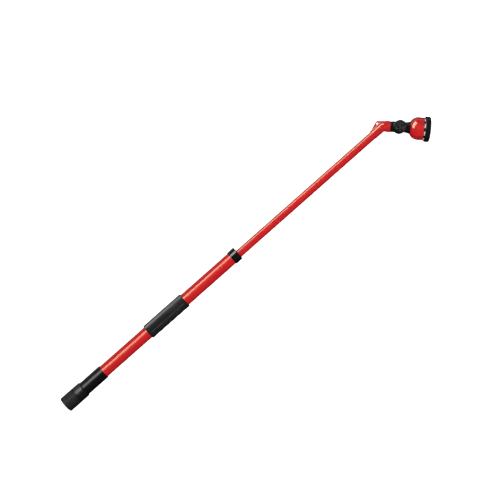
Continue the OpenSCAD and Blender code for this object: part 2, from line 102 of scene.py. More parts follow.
class Axes:
    """A piece's own axes: x runs along it, y across it in the bend plane, and z is the frame's +Z."""

    def __init__(self, origin, angle):
        self.origin = np.array(origin, dtype=float)
        along = np.array([math.cos(angle), math.sin(angle), 0.0])
        across = np.array([-math.sin(angle), math.cos(angle), 0.0])
        self.rows = np.array([along, across, [0.0, 0.0, 1.0]])

    def out(self, points):
        """Points in these axes, as points in the frame."""
        return self.origin + points @ self.rows

    def into(self, points):
        """Points in the frame, as points in these axes."""
        return (points - self.origin) @ self.rows.T


WAND = Axes((0, 0, 0), 0.0)
TUBE_Y = float(sum(corners("inner_tube"))[1]) / 2
INNER = Axes((0, TUBE_Y, 0), 0.0)
LEAST_SLOPE = 0.05
HUB_AT = np.array(joint("head_pivot")["pos_m"]) / MM
HEAD_TURN = math.atan2(joint("dial_spin")["axis"][1], joint("dial_spin")["axis"][0])
HEAD = Axes(HUB_AT, HEAD_TURN)


def arm_axes(sizes):
    """Axes at the pivot, along the elbow's outlet."""
    return Axes(HUB_AT, -sizes.bend)


def bend_axes(sizes):
    """Axes at the elbow's bend, along its outlet."""
    arm = arm_axes(sizes)
    return Axes(arm.out(np.array([-sizes.hub_reach, -sizes.hub_shift, 0.0])), -sizes.bend)


# ---------------------------------------------------------------- mesh makers

def add_piece(name, points, faces, body, finish, slot, replaces=()):
    """Puts points and faces into a mesh whose faces point outwards, and hands it to the frame."""
    points = points * MM
    faces = [np.asarray(f) for f in faces]
    volume = 0.0
    for group in faces:
        for k in range(1, group.shape[1] - 1):
            a, b, c = points[group[:, 0]], points[group[:, k]], points[group[:, k + 1]]
            volume += float(np.einsum("ij,ij->", a, np.cross(b, c)))
    if volume < 0:
        faces = [group[:, ::-1] for group in faces]
    mesh = bpy.data.meshes.new(name)
    mesh.from_pydata(points.tolist(), [], [row for group in faces for row in group.tolist()])
    if mesh.validate():
        raise RuntimeError(f"{name}: the mesh had faults")
    mesh.shade_smooth()
    piece = bpy.data.objects.new(name, mesh)
    bpy.context.scene.collection.objects.link(piece)
    mesh.materials.append(finish)
    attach(piece, body)
    if replaces:
        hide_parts(*replaces)
    return piece


def joined(parts):
    """Several (points, faces) pairs as one pair."""
    points, faces, start = [], [], 0
    for some_points, some_faces in parts:
        points.append(some_points)
        faces.extend(np.asarray(f) + start for f in some_faces)
        start += len(some_points)
    return np.concatenate(points), faces


def rounded(corner_list, steps=6):
    """A closed outline from (along, radius, rounding) corners.

    Each corner is a circular arc that is tangent to both sides, with a point just before and just
    after it, so that the flats beside it stay flat in shading.
    """
    corner_list = np.asarray(corner_list, dtype=float)
    spots = corner_list[:, :2]
    outline = []
    for i, (spot, rounding) in enumerate(zip(spots, corner_list[:, 2])):
        back, ahead = spots[i - 1] - spot, spots[(i + 1) % len(spots)] - spot
        back_len, ahead_len = np.linalg.norm(back), np.linalg.norm(ahead)
        back, ahead = back / back_len, ahead / ahead_len
        if rounding <= 0:
            outline.append(spot)
            continue
        half = math.acos(float(np.clip(back @ ahead, -1, 1))) / 2
        reach = rounding / math.tan(half)
        middle = (back + ahead) / np.linalg.norm(back + ahead)
        centre = spot + middle * rounding / math.sin(half)
        start, end = spot + back * reach - centre, spot + ahead * reach - centre
        turn = math.acos(float(np.clip(start @ end, -rounding**2, rounding**2)) / rounding**2)
        t = np.linspace(0, 1, steps + 1)[:, None]
        arc = centre + (np.sin((1 - t) * turn) * start + np.sin(t * turn) * end) / math.sin(turn)
        hold = min(0.25 * rounding, 0.2)
        outline.append(spot + back * (reach + hold))
        outline.extend(arc)
        outline.append(spot + ahead * (reach + hold))
    return np.array(outline)


def lathe(outline, axes, turns=160, shape=None):
    """A closed outline of (along, radius) carried round an axis: x = along, y = r cos a, z = r sin a.

    shape(along, radius, angle) gives the radius at each place, for ribs and threads.
    """
    angle = np.linspace(0, 2 * np.pi, turns, endpoint=False)[None, :]
    along = np.repeat(outline[:, :1], turns, axis=1)
    radius = np.repeat(outline[:, 1:2], turns, axis=1)
    if shape is not None:
        radius = shape(along, radius, angle)
    grid = np.stack([along, radius * np.cos(angle), radius * np.sin(angle)], axis=-1)
    index = np.arange(along.size).reshape(along.shape)
    ahead, beside = np.roll(index, -1, axis=0), np.roll(index, -1, axis=1)
    corner = np.roll(ahead, -1, axis=1)
    faces = np.stack([index, ahead, corner, beside], axis=-1).reshape(-1, 4)
    return axes.out(grid.reshape(-1, 3)), [faces]


def capped_lathe(outline, axes, turns=160, shape=None):
    """An open outline that starts and ends on the axis, carried round it, with one point at each pole."""
    middle = outline[1:-1]
    points, _ = lathe(middle, axes, turns, shape)
    rows = len(middle)
    index = np.arange(rows * turns).reshape(rows, turns)
    beside = np.roll(index, -1, axis=1)
    faces = np.stack([index[:-1], index[1:], beside[1:], beside[:-1]], axis=-1).reshape(-1, 4)
    poles = axes.out(np.array([[outline[0, 0], 0, 0], [outline[-1, 0], 0, 0]]))
    first, last = len(points), len(points) + 1
    start = np.stack([np.full(turns, first), index[0], beside[0]], axis=-1)
    end = np.stack([np.full(turns, last), beside[-1], index[-1]], axis=-1)
    return np.concatenate([points, poles]), [faces, start, end]


def coil_surface(s, node, axes):
    """A coil spring about the pivot's axis in the place of a CAD node.

    A small circle is carried along a helix: the angle runs evenly over all the turns, and the
    height rises in step with it, so the wire ends at the node's two heights.
    """
    low, high = corners(node)
    reach = (high - low)[0] / 2 - s.spring_wire
    share = np.linspace(0, 1, 48 * s.spring_turns + 1)[:, None]
    turn = 2 * np.pi * s.spring_turns * share
    side = np.linspace(0, 2 * np.pi, 10, endpoint=False)[None, :]
    radius = reach + s.spring_wire * np.cos(side)
    height = low[2] + s.spring_wire * (1 + np.sin(side)) + (high[2] - low[2] - 2 * s.spring_wire) * share
    grid = np.stack([radius * np.cos(turn), radius * np.sin(turn), height], axis=-1)
    index = np.arange(grid[..., 0].size).reshape(grid.shape[:2])
    beside = np.roll(index, -1, axis=1)
    walls = np.stack([index[:-1], index[1:], beside[1:], beside[:-1]], axis=-1).reshape(-1, 4)
    return axes.out(grid.reshape(-1, 3)), [walls, index[:1], index[-1:, ::-1]]


def skin(field, low, high, cell):
    """The closed surface on which a field is zero.

    Each grid cell that the surface crosses gets one point, at the mean of the crossings on its edges
    and then moved along the field's gradient onto the surface. Each grid edge that the surface
    crosses gets the quad between its four cells.
    """
    axes = [np.arange(a, b + cell, cell) for a, b in zip(low, high)]
    shape = tuple(len(a) for a in axes)
    places = np.stack(np.meshgrid(*axes, indexing="ij"), axis=-1)
    value = field(places.reshape(-1, 3)).reshape(shape)
    inside = value < 0
    cells = tuple(n - 1 for n in shape)
    total, count = np.zeros(cells + (3,)), np.zeros(cells)
    quads = []
    for d in range(3):
        e, f = (d + 1) % 3, (d + 2) % 3
        a = np.take(value, range(0, shape[d] - 1), axis=d)
        b = np.take(value, range(1, shape[d]), axis=d)
        cross = (a < 0) != (b < 0)
        share = np.where(cross, a / np.where(cross, a - b, 1), 0)
        where = np.argwhere(cross)
        spot = np.stack([axes[k][where[:, k]] for k in range(3)], axis=-1)
        spot[:, d] += share[cross] * cell
        ring = []
        for se, sf in ((-1, -1), (0, -1), (0, 0), (-1, 0)):
            near = where.copy()
            near[:, e] += se
            near[:, f] += sf
            np.add.at(total, tuple(near.T), spot)
            np.add.at(count, tuple(near.T), 1)
            ring.append(np.ravel_multi_index(tuple(near.T), cells))
        ring = np.stack(ring, axis=-1)
        flip = ~inside[tuple(where.T)]
        ring[flip] = ring[flip][:, ::-1]
        quads.append(ring)
    used = count.ravel() > 0
    points = total.reshape(-1, 3)[used] / count.ravel()[used, None]
    number = np.cumsum(used) - 1
    faces = number[np.concatenate(quads)]
    nudge = 0.05 * cell
    for _ in range(4):
        here = field(points)
        slope = np.stack([field(points + step) - field(points - step)
                          for step in nudge * np.eye(3)], axis=-1) / (2 * nudge)
        size = np.maximum((slope**2).sum(axis=-1), LEAST_SLOPE)
        shift = -(here / size)[:, None] * slope
        far = np.maximum(np.linalg.norm(shift, axis=-1, keepdims=True) / (0.5 * cell), 1)
        points = points + shift / far
    return points, [faces]


def merge(a, b, soft):
    """Union of two fields, blended over the distance soft."""
    h = np.clip(0.5 + 0.5 * (b - a) / soft, 0, 1)
    return b + (a - b) * h - soft * h * (1 - h)


def cut(a, b, soft):
    """Field a with field b taken out of it, blended over the distance soft."""
    return -merge(-a, b, soft)


def keep(a, b, soft):
    """The part of field a that is inside field b, blended over the distance soft."""
    return -merge(-a, -b, soft)


def rectangle(x, y, x0, x1, y0, y1):
    """2D field of a rectangle."""
    out = np.stack([np.abs(x - (x0 + x1) / 2) - (x1 - x0) / 2, np.abs(y - (y0 + y1) / 2) - (y1 - y0) / 2])
    return np.minimum(out.max(axis=0), 0) + np.linalg.norm(np.maximum(out, 0), axis=0)


def polygon(x, y, spots):
    """2D field of a convex polygon whose corners run anticlockwise: the largest distance past a side."""
    spots = np.asarray(spots)
    sides = np.roll(spots, -1, axis=0) - spots
    outward = np.stack([sides[:, 1], -sides[:, 0]], axis=-1) / np.linalg.norm(sides, axis=-1)[:, None]
    return np.max([(x - p[0]) * n[0] + (y - p[1]) * n[1] for p, n in zip(spots, outward)], axis=0)


def smooth_step(x, low, high):
    """0 below low, 1 above high, and 3t^2 - 2t^3 between."""
    t = np.clip((x - low) / (high - low), 0, 1)
    return t * t * (3 - 2 * t)


# ---------------------------------------------------------------- finishes

def finish_nodes(name, colour, roughness, metallic=0.0, ior=1.5, level=0.5, gloss_tint=(1, 1, 1)):
    """A new material with its shader, and its object coordinates."""
    material = bpy.data.materials.new(name)
    material.use_nodes = True
    tree = material.node_tree
    shader = tree.nodes["Principled BSDF"]
    shader.inputs["Base Color"].default_value = (*colour[:3], 1)
    shader.inputs["Roughness"].default_value = roughness
    shader.inputs["Metallic"].default_value = metallic
    shader.inputs["IOR"].default_value = ior
    shader.inputs["Specular IOR Level"].default_value = level
    shader.inputs["Specular Tint"].default_value = (*gloss_tint, 1)
    place = tree.nodes.new("ShaderNodeTexCoord")
    return material, tree, shader, place.outputs["Object"]


def stretched(tree, place, scale):
    """Coordinates multiplied by scale."""
    mapping = tree.nodes.new("ShaderNodeMapping")
    mapping.inputs["Scale"].default_value = scale
    tree.links.new(place, mapping.inputs["Vector"])
    return mapping.outputs["Vector"]


def noise(tree, place, scale, detail=2.0, roughness=0.5):
    """A noise value from 0 to 1."""
    node = tree.nodes.new("ShaderNodeTexNoise")
    node.inputs["Scale"].default_value = scale
    node.inputs["Detail"].default_value = detail
    node.inputs["Roughness"].default_value = roughness
    tree.links.new(place, node.inputs["Vector"])
    return node.outputs["Fac"]


def between(tree, value, low, high, to_low, to_high):
    """value from low..high carried to to_low..to_high, clamped."""
    node = tree.nodes.new("ShaderNodeMapRange")
    for socket, number in zip(("From Min", "From Max", "To Min", "To Max"), (low, high, to_low, to_high)):
        node.inputs[socket].default_value = number
    tree.links.new(value, node.inputs["Value"])
    return node.outputs["Result"]


def math_node(tree, operation, a, b):
    """a and b combined; b is a value or a number."""
    node = tree.nodes.new("ShaderNodeMath")
    node.operation = operation
    tree.links.new(a, node.inputs[0])
    if isinstance(b, (int, float)):
        node.inputs[1].default_value = b
    else:
        tree.links.new(b, node.inputs[1])
    return node.outputs["Value"]


def bump(tree, shader, height, distance, strength=1.0, before=None):
    """A bump of the given depth in metres, on top of an earlier one."""
    node = tree.nodes.new("ShaderNodeBump")
    node.inputs["Distance"].default_value = distance
    node.inputs["Strength"].default_value = strength
    tree.links.new(height, node.inputs["Height"])
    if before is not None:
        tree.links.new(before.outputs["Normal"], node.inputs["Normal"])
    tree.links.new(node.outputs["Normal"], shader.inputs["Normal"])
    return node


def tint(tree, shader, value, colour_a, colour_b):
    """The base colour goes from colour_a at 0 to colour_b at 1."""
    node = tree.nodes.new("ShaderNodeMix")
    node.data_type = "RGBA"
    node.inputs["A"].default_value = (*colour_a[:3], 1)
    node.inputs["B"].default_value = (*colour_b[:3], 1)
    tree.links.new(value, node.inputs["Factor"])
    tree.links.new(node.outputs["Result"], shader.inputs["Base Color"])


def shade(colour, factor):
    """A colour made lighter or darker."""
    return tuple(min(1.0, c * factor) for c in colour[:3])


def enamel(name, colour):
    """Glossy baked paint on a drawn tube: orange peel, faint lengthwise scuffs and dust in the gloss."""
    material, tree, shader, place = finish_nodes(name, colour, 0.2, level=0.55, gloss_tint=RED_GLOSS)
    scuffs = noise(tree, stretched(tree, place, (6, 900, 900)), 1.0, 3, 0.6)
    dust = noise(tree, place, 38, 4, 0.6)
    tree.links.new(between(tree, scuffs, 0.35, 0.75, 0.15, 0.23), shader.inputs["Roughness"])
    tint(tree, shader, between(tree, dust, 0.35, 0.7, 0, 1), shade(colour, 0.94), shade(colour, 1.05))
    peel = bump(tree, shader, noise(tree, place, 420, 1.5), 0.00004)
    bump(tree, shader, scuffs, 0.000012, before=peel)
    return material


def moulding(name, colour, roughness, grain=900, depth=0.00003, spread=0.06, level=0.5,
             gloss_tint=(1, 1, 1)):
    """Injection moulded plastic: fine grain, cloudy gloss, and a slow drift in its colour."""
    material, tree, shader, place = finish_nodes(name, colour, roughness, level=level, gloss_tint=gloss_tint)
    cloud = noise(tree, place, 55, 4, 0.62)
    tree.links.new(between(tree, cloud, 0.3, 0.72, roughness - spread, roughness + spread),
                   shader.inputs["Roughness"])
    tint(tree, shader, between(tree, cloud, 0.3, 0.7, 0, 1), shade(colour, 0.9), shade(colour, 1.12))
    swell = bump(tree, shader, noise(tree, place, 120, 1), 0.00005)
    bump(tree, shader, noise(tree, place, grain, 2, 0.55), depth, before=swell)
    return material


def soft_rubber(name, colour, roughness=0.42):
    """Soft moulded rubber: a pebbled skin, dull, and paler where it is rubbed."""
    material, tree, shader, place = finish_nodes(name, colour, roughness, ior=1.46)
    cells = tree.nodes.new("ShaderNodeTexVoronoi")
    cells.inputs["Scale"].default_value = 1100
    tree.links.new(place, cells.inputs["Vector"])
    rubbed = noise(tree, place, 26, 4, 0.6)
    tint(tree, shader, between(tree, rubbed, 0.42, 0.74, 0, 1), colour, shade(colour, 1.7))
    tree.links.new(between(tree, rubbed, 0.3, 0.7, roughness - 0.07, roughness + 0.08),
                   shader.inputs["Roughness"])
    pebbles = bump(tree, shader, cells.outputs["Distance"], 0.00012, 0.7)
    bump(tree, shader, noise(tree, place, 2600, 2), 0.00003, before=pebbles)
    return material


def grain_with_painted_light(name, colour, lit_colour, roughness):
    """Leather-grained plastic: shallow soft-edged pits a few millimetres apart. Its colour is painted darker
    in the pits as painted shade and paler on the raised lands as painted light.
    """
    material, tree, shader, place = finish_nodes(name, colour, roughness, level=0.25)
    grain_pattern = noise(tree, place, 270, 2, 0.55)
    lands_and_painted_light = between(tree, grain_pattern, 0.48, 0.6, 0, 1)
    # painted shade and painted light: the base colour is dark where the grain is low and pale where it is
    # high
    tint(tree, shader, lands_and_painted_light, colour, lit_colour)
    tree.links.new(between(tree, grain_pattern, 0.35, 0.65, roughness + 0.1, roughness - 0.06),
                   shader.inputs["Roughness"])
    pits = bump(tree, shader, lands_and_painted_light, 0.00012, 0.8)
    bump(tree, shader, noise(tree, place, 2400, 2), 0.00004, before=pits)
    return material


def metal(name, colour, roughness=0.3):
    """Plated or drawn steel with fine brushing."""
    material, tree, shader, place = finish_nodes(name, colour, roughness, metallic=1.0)
    grain = noise(tree, stretched(tree, place, (400, 400, 3000)), 1.0, 2)
    tree.links.new(between(tree, grain, 0.3, 0.7, roughness - 0.08, roughness + 0.12),
                   shader.inputs["Roughness"])
    tint(tree, shader, noise(tree, place, 200, 3), shade(colour, 0.8), shade(colour, 1.1))
    bump(tree, shader, grain, 0.00001)
    return material


def ceramic(name, colour):
    """Ground ceramic, smooth and slightly cloudy."""
    material, tree, shader, place = finish_nodes(name, colour, 0.22, ior=1.7)
    cloud = noise(tree, place, 300, 4)
    tint(tree, shader, cloud, shade(colour, 0.9), shade(colour, 1.05))
    tree.links.new(between(tree, cloud, 0.3, 0.7, 0.16, 0.3), shader.inputs["Roughness"])
    bump(tree, shader, noise(tree, place, 2500, 2), 0.000006)
    return material


RED_GLOSS = (1.0, 0.95, 0.66)
FINISHES = {}


def make_finishes(colours):
    """Every finish, by the name of the record's material slot."""
    FINISHES.update(
        red_paint=enamel("red_enamel", colours.red),
        red_plastic=moulding("red_moulding", colours.red, 0.13, 700, 0.000008, spread=0.03, level=0.9,
                             gloss_tint=RED_GLOSS),
        gloss_black=moulding("gloss_black_moulding", colours.black, 0.15, 1300, 0.000008, spread=0.04),
        sleeve_black=moulding("handled_black_moulding", colours.black, 0.3, 1300, 0.00001, level=0.3),
        ring_black=moulding("ring_black_moulding", colours.black, 0.4, 1300, 0.00002),
        black_plastic=moulding("black_moulding", colours.satin_black, 0.27, level=0.45),
        nut_black=moulding("grained_black_moulding", colours.nut, 0.5, 1500, 0.00006, level=0.19),
        grip_foam=soft_rubber("grip_rubber", colours.grip),
        # the hub's finish paints shade into the grain's pits and light onto its lands
        hub_grey=grain_with_painted_light("hub_moulding", colours.hub, colours.hub_painted_light, 0.42),
        mark_grey=moulding("mark_moulding", colours.mark, 0.45),
        seal_rubber=soft_rubber("seal_rubber", colours.seal, 0.5),
        plated_steel=metal("plated_steel", colours.steel),
        spring_steel=metal("spring_steel", shade(colours.steel, 0.85), 0.25),
        bone_plastic=moulding("bone_moulding", colours.bone, 0.45),
        ceramic=ceramic("ceramic", colours.ceramic),
    )
    for part in frame["record"]["subparts"]:
        node = frame["nodes"][part["node"]]
        node.data.materials.clear()
        node.data.materials.append(FINISHES[part["material_slot"]])


def add(name, made, body, slot, replaces=(), finish=None):
    """A made (points, faces) pair as a piece in the finish of its slot, or in one of its own."""
    return add_piece(name, *made, body, FINISHES[finish or slot], slot, replaces)


def flatten(piece):
    """Gives a spring's piece a mesh of its own."""
    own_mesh(piece)


# ---------------------------------------------------------------- sizes and colours

def size(name, default, text):
    """A length property, in millimetres."""
    return FloatProperty(name=name, description=text + ", in millimetres", default=default, precision=2)


def angle(name, degrees, text):
    """An angle property."""
    return FloatProperty(name=name, description=text, default=math.radians(degrees), unit="ROTATION")


def number(name, default, text):
    """A plain number property."""
    return FloatProperty(name=name, description=text, default=default)


def whole(name, default, text, lowest=1):
    """A whole number property."""
    return IntProperty(name=name, description=text, default=default, min=lowest)


def colour(name, default, text):
    """A colour property."""
    return FloatVectorProperty(name=name, description=text, default=default, subtype="COLOR", min=0, max=1)


class WAND_PG_sizes(bpy.types.PropertyGroup):
    """Shapes that the frame's boxes don't give."""

    nut_ribs: whole("Nut ribs", 30, "Finger grooves around the nut", 8)
    nut_groove: size("Nut groove", 0.5, "Depth of the nut's grooves")
    nut_bore: size("Nut bore", 12.3, "Crest radius of the hose thread")
    nut_thread: size("Thread length", 12.6, "Depth of the threaded stretch")
    thread_pitch: size("Thread pitch", 2.209, "Pitch of the hose thread")
    thread_depth: size("Thread depth", 0.95, "Height of the hose thread")
    grip_square: number("Grip squareness", 2.6, "Power of the grip's oval")
    grip_flat: number("Grip flatness", 0.9, "Height of the grip over its width")
    grip_flutes: whole("Grip flutes", 24, "Flutes in a full turn", 8)
    flute_depth: size("Flute depth", 1.0, "Depth of the grip's flutes")
    wave_depth: size("Wave depth", 0.45, "Depth of the grip's finger waves")
    wave_count: whole("Waves", 5, "Finger waves along the grip")
    bend: angle("Bend", 41.5, "Turn of the elbow")
    bend_radius: size("Bend radius", 15.0, "Radius of the elbow's centre line")
    hub_reach: size("Hub reach", 37.4, "Distance from the bend to the pivot, along the outlet")
    hub_shift: size("Hub shift", -1.0, "Sideways offset of the pivot")
    socket_x: size("Socket start", 911.0, "Start of the elbow's socket along the wand")
    socket_r: size("Socket radius", 9.9, "Radius of the elbow's socket")
    outlet_r: size("Outlet radius", 12.5, "Radius of the elbow's outlet")
    outlet_end: size("Outlet end", 15.8, "Length of the outlet after the bend")
    web_half: size("Web half", 2.2, "Half the thickness of the elbow's web")
    hang_r: size("Hanging hole", 2.2, "Radius of the hanging hole")
    clevis_r: size("Clevis radius", 11.3, "Radius of the clevis body")
    ear_r: size("Ear radius", 14.6, "Radius of the clevis ears")
    ear_in: size("Ear inside", 8.3, "Height of the ears' inner faces")
    ear_out: size("Ear outside", 12.0, "Height of the upper ear's outer face")
    foot_out: size("Foot outside", 13.2, "Depth of the lower ear's outer face")
    rim_in: size("Rim radius", 12.7, "Inside radius of the rims around the hub")
    spring_wire: size("Spring wire", 0.22, "Half the thickness of the wire of the pivot's springs")
    spring_turns: whole("Spring turns", 2, "Turns of the pivot's springs")
    button_top: size("Button top", 16.2, "Height of the hub button's middle")
    button_crown: size("Button crown", 0.6, "How much lower the hub button's face is at its edge")
    plate_top: size("Plate top", 14.8, "Depth of the hub plate's middle")
    plate_crown: size("Plate crown", 0.1, "How much the hub plate's face falls back at its edge")
    knurl_pitch: size("Knurl pitch", 3.4, "Spacing of the hub's pyramids")
    knurl_depth: size("Knurl depth", 0.5, "Height of the hub's pyramids")
    knurl_reach: size("Knurl reach", 0.9, "How far below its top a knurled face still counts as its top")
    drum_r: size("Drum radius", 13.8, "Radius of the pivot drum")
    drum_half: size("Drum half", 8.0, "Half the height of the pivot drum")
    neck_r: size("Neck radius", 11.35, "Radius of the neck beside the drum")
    neck_end: size("Neck end", 22.6, "Where the neck meets the bell")
    bell_r: size("Bell radius", 25.4, "Largest radius of the bell")
    bell_arc: size("Bell arc", 20.46, "Radius of the bell's dome")
    bell_wide: size("Bell widest", 41.0, "Where the bell is widest")
    bell_front: size("Bell front", 52.0, "Front of the bell")
    lip_r: size("Lip radius", 28.2, "Radius of the dial's rim")
    lip_back: size("Lip back", 55.2, "Back of the dial's rim")
    lip_front: size("Lip front", 67.3, "Front of the dial's rim")
    rim_wall: size("Rim wall", 25.8, "Inside radius of the dial's rim")
    rim_hook: size("Rim hook", 0.8, "How far the rim reaches over the dial's wall")
    face_r: size("Face radius", 24.4, "Radius of the face plate")
    band_r: size("Band radius", 24.5, "Radius of the dial's band")
    patterns: whole("Patterns", 9, "Spray patterns on the dial", 5)
    pad_start: angle("Pad start", 68.5, "Where the first pad starts, around the dial")
    pad_width: angle("Pad width", 22.0, "How far a pad reaches around the dial")
    pad_x: size("Pad place", 53.95, "Middle of the pads along the head")
    pad_half: size("Pad half", 1.08, "Half the length of a pad along the head")
    pad_lift: size("Pad lift", 0.22, "Height of a pad's middle over the dial's band")
    pad_thick: size("Pad thickness", 0.28, "Half the thickness of a pad")
    cell: size("Cell", 0.42, "Grid size of the moulded shapes")


class WAND_PG_colours(bpy.types.PropertyGroup):
    """Base colours."""

    red: colour("Red", (0.56, 0.008, 0.013), "Red paint and red plastic")
    black: colour("Black", (0.002, 0.002, 0.0021), "Glossy black plastic")
    satin_black: colour("Satin black", (0.004, 0.004, 0.0042), "Satin black plastic")
    nut: colour("Nut", (0.008, 0.008, 0.0082), "Grained black plastic of the nut")
    grip: colour("Grip", (0.006, 0.0065, 0.0065), "Soft grip")
    # hub is the pits' colour, darkened as painted shade; the next colour is the lands' colour, made paler as
    # painted light
    hub: colour("Hub", (0.003, 0.0032, 0.003), "Pits of the textured pivot hub")
    hub_painted_light: colour("Hub speckles", (0.04, 0.042, 0.04), "Lands of the textured pivot hub")
    mark: colour("Marks", (0.7, 0.71, 0.69), "Index pads")
    seal: colour("Seals", (0.011, 0.011, 0.011), "Rubber seals")
    steel: colour("Steel", (0.6, 0.6, 0.61), "Plated steel")
    bone: colour("Bone", (0.72, 0.7, 0.63), "Pale inner plastic")
    ceramic: colour("Ceramic", (0.8, 0.79, 0.75), "Valve discs")


class WAND_PG_stage(bpy.types.PropertyGroup):
    """Lights, floor and camera."""

    key_angle: angle("Key angle", 41.0, "Tilt of the key light from overhead, towards +Y")
    key_distance: size("Key distance", 2500.0, "Distance of the key light")
    key_x: size("Key place", 330.0, "Middle of the key light along the wand")
    key_length: size("Key length", 3000.0, "Length of the key light along the wand")
    key_width: size("Key width", 1350.0, "Width of the key light")
    key_twist: angle("Key twist", 25.0, "Turn of the key light in its own plane")
    key_light: number("Key light", 8.2, "Radiance of the key light")
    key_tint: colour("Key tint", (1.0, 0.98, 0.94), "Colour of the key light")
    fill_angle: angle("Fill angle", 3.0, "Tilt of the fill light from overhead, towards +Y")
    fill_x: size("Fill place", 600.0, "Middle of the fill light along the wand")
    fill_width: size("Fill width", 1400.0, "Width of the fill light")
    fill_light: number("Fill light", 4.3, "Radiance of the fill light")
    side_angle: angle("Side angle", 68.0, "Tilt of the side light from overhead, towards +Y")
    side_x: size("Side place", 300.0, "Middle of the side light along the wand")
    side_width: size("Side width", 1700.0, "Width of the side light")
    side_light: number("Side light", 7.5, "Radiance of the side light")
    around: number("Mirrored surroundings", 0.14, "Surroundings in reflections")
    soft_around: number("Soft surroundings", 0.42, "Soft light from all around")
    floor: colour("Floor", (0.86, 0.86, 0.86), "Colour of the floor as the camera sees it")
    floor_bounce: number("Floor bounce", 0.35, "Soft light that the floor sends up")
    floor_mirror: number("Floor mirror", 0.02, "Paleness of the floor in reflections")
    rim_glow: number("Rim glow", 0.5, "Glow of the floor beyond the wand")
    rim_start: size("Rim start", -5.0, "Where the glow beyond the wand starts")
    rim_full: size("Rim full", 30.0, "Where the glow beyond the wand reaches its full strength")
    floor_glow: number("Floor glow", 1.0, "Light that the floor gives off")
    camera_height: size("Camera height", 3050.0, "Height of the camera")
    camera_x: size("Camera place", 535.9, "Place of the camera along the wand")
    camera_y: size("Camera shift", -13.0, "Place of the camera across the wand")
    camera_turn: angle("Camera turn", -41.47, "Turn of the picture")
    camera_lens: size("Camera lens", 98.6, "Focal length of the camera")


# ---------------------------------------------------------------- coupling and handle

def straight(start, end, radius, count):
    """Sharp outline points along a straight stretch, for a shape that changes there."""
    return [(x, radius, 0) for x in np.linspace(start, end, count)]


def nut_surface(s):
    """Swivel nut: an outline carried round the wand, with ribs outside and a hose thread inside.

    Between the rims the radius drops by nut_groove times a rounded square wave of ribs times the angle.
    In the bore the radius is the crest plus thread_depth times a flat-topped triangle wave of
    along / pitch minus the turn.
    """
    low, high = corners("swivel_nut")
    end, r = high[0], high[1]
    thread_rows = int(s.nut_thread / s.thread_pitch * 12)
    outline = rounded(
        straight(s.nut_thread, 0.5, s.nut_bore, thread_rows)
        + [(0, s.nut_bore + 1.3, 0.2), (0, r, 1.5)]
        + straight(2.4, 4.6, r, 9) + straight(end - 5.4, end - 3.0, r, 9)
        + [(end, r, 0.9), (end, 14.6, 0.25), (22.0, 14.6, 0), (22.0, 10.05, 0), (18.8, 10.05, 0),
           (18.8, 12.9, 0), (s.nut_thread, 12.9, 0)])

    def shape(along, radius, turn):
        wave = 0.5 + 0.5 * np.tanh(3 * np.cos(s.nut_ribs * turn)) / math.tanh(3)
        fade = smooth_step(along, 2.8, 4.2) * (1 - smooth_step(along, end - 5.0, end - 3.4))
        outer = radius - s.nut_groove * wave * fade * (radius > r - 0.1)
        phase = np.mod(along / s.thread_pitch - turn / (2 * np.pi), 1)
        tooth = np.clip(1.6 * (1 - np.abs(2 * phase - 1)) - 0.3, 0, 1)
        run_out = 1 - smooth_step(along, s.nut_thread - 1.6, s.nut_thread - 0.3)
        threaded = np.maximum(s.nut_bore + s.thread_depth * tooth * run_out, s.nut_bore + 1.3 - along)
        return np.where((radius < s.nut_bore + 0.01) & (along <= s.nut_thread), threaded, outer)

    return lathe(outline, WAND, s.nut_ribs * 16, shape)


def ring_surface(s):
    """Valve ring: a plain band with a rounded front edge, a wider chamfer behind it and a stepped bore."""
    low, high = corners("valve_ring")
    x0, x1, r = low[0], high[0], high[1]
    return lathe(rounded([
        (x0, 15.75, 0.2), (x0, r, 0.9), (x1 - 2.6, r, 1.6), (x1, r - 1.9, 0.5), (x1, 13.95, 0.2),
        (45.2, 13.95, 0), (45.2, 15.75, 0)]), WAND)


def sleeve_surface(s):
    """Handle sleeve: a plain tube with rounded ends."""
    low, high = corners("handle_sleeve")
    x0, x1, r = low[0], high[0], high[1]
    return lathe(rounded([
        (x0, 15.62, 0.1), (x0, r, 0.35), (x1, r, 1.1), (x1, 14.32, 0.15), (x0 + 2.0, 14.32, 0),
        (x0 + 2.0, 15.62, 0)]), WAND)


def tube_surface(node, wall, axes):
    """A drawn tube with its ends rounded over."""
    low, high = corners(node)
    r = (high[2] - low[2]) / 2
    return lathe(rounded([(low[0], r - wall, 0.3), (low[0], r, 0.35), (high[0], r, 0.35),
                          (high[0], r - wall, 0.3)]), axes)


